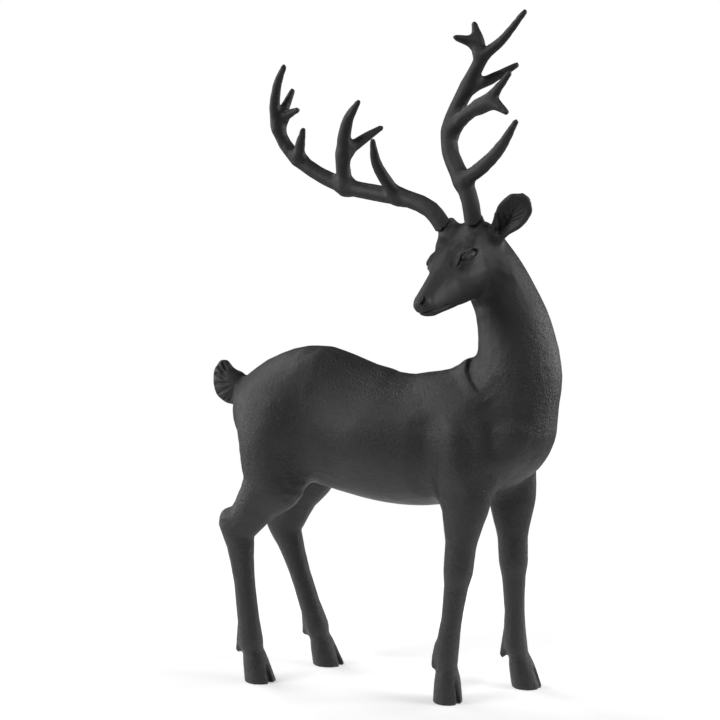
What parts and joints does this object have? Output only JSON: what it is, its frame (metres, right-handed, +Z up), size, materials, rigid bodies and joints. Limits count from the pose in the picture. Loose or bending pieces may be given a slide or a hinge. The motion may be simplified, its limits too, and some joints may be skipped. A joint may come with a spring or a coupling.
{
  "type": "stag statue",
  "caption": "Cast iron statue of a standing stag with a turned head, branching antlers and cloven hooves, which stands on the ground by its own weight.",
  "frame": {"origin": "on the ground, under the middle of the statue's bounding box", "axes": "+X the way the trunk faces, +Y to the stag's left, +Z up"},
  "size_m": [0.3298, 0.1494, 0.6018],
  "materials": {
    "body_iron": "matte charcoal black with the fine leathery grain of a sand casting",
    "antler_iron": "matte charcoal black, smoother than the body"
  },
  "bodies": {
    "root": {"body": "body_iron", "antler_left": "antler_iron", "antler_right": "antler_iron"}
  },
  "joints": []
}
